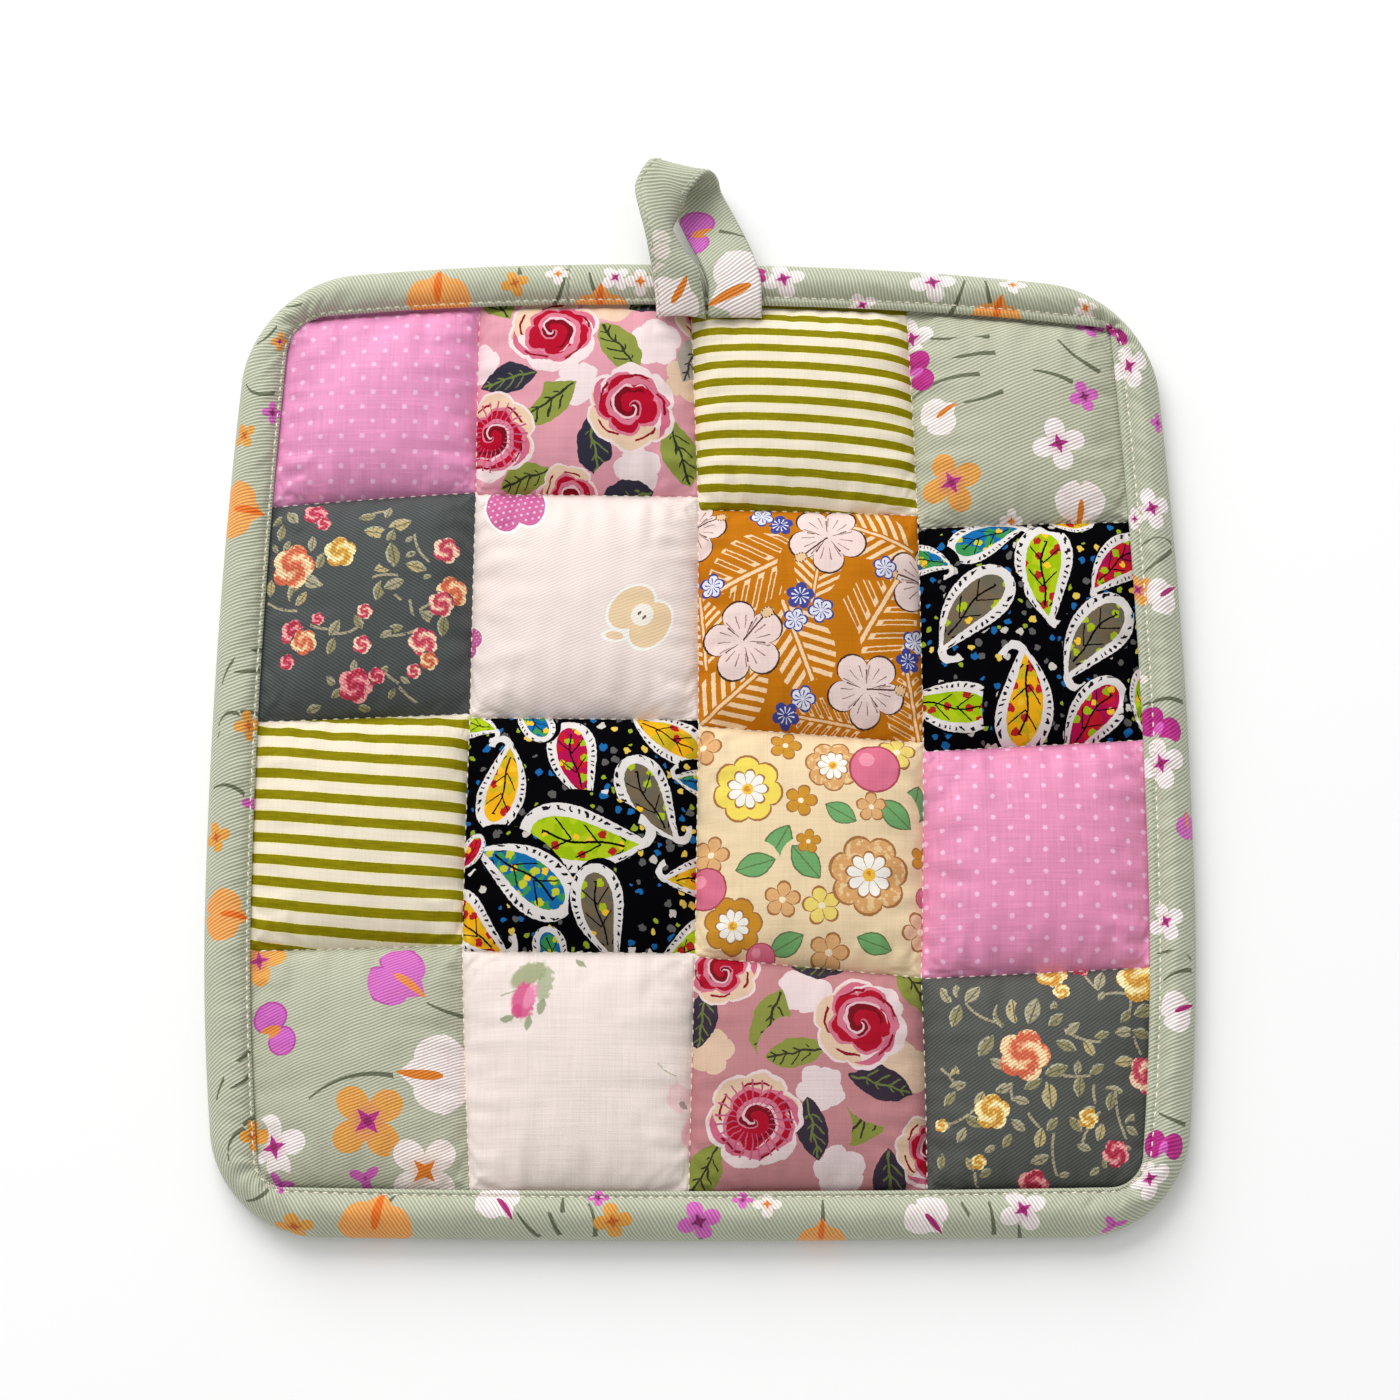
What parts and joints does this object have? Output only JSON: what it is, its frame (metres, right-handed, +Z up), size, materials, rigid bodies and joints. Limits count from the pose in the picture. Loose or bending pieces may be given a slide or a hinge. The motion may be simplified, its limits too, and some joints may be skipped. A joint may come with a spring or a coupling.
{
  "type": "quilted pot holder",
  "caption": "Square quilted patchwork pot holder with a bound edge and a folded hanging loop at the middle of its top edge, lying flat.",
  "frame": {"origin": "on the surface the pot holder lies on, under the middle of the pad and loop together", "axes": "+Z up through the patchwork face, +Y towards the hanging loop, +X to the right seen from above"},
  "size_m": [0.2, 0.2274, 0.0143],
  "materials": {
    "patchwork_cotton": "matte printed plain-weave and twill cotton",
    "binding_cotton": "matte ribbed twill cotton, sage with a small floral print",
    "loop_cotton": "matte ribbed twill cotton, sage with a small floral print",
    "backing_cotton": "matte plain sage twill cotton",
    "stitch_thread": "satin cream sewing thread"
  },
  "bodies": {
    "root": {"quilted_pad": "patchwork_cotton", "binding": "binding_cotton", "hanging_loop": "loop_cotton"}
  },
  "joints": []
}
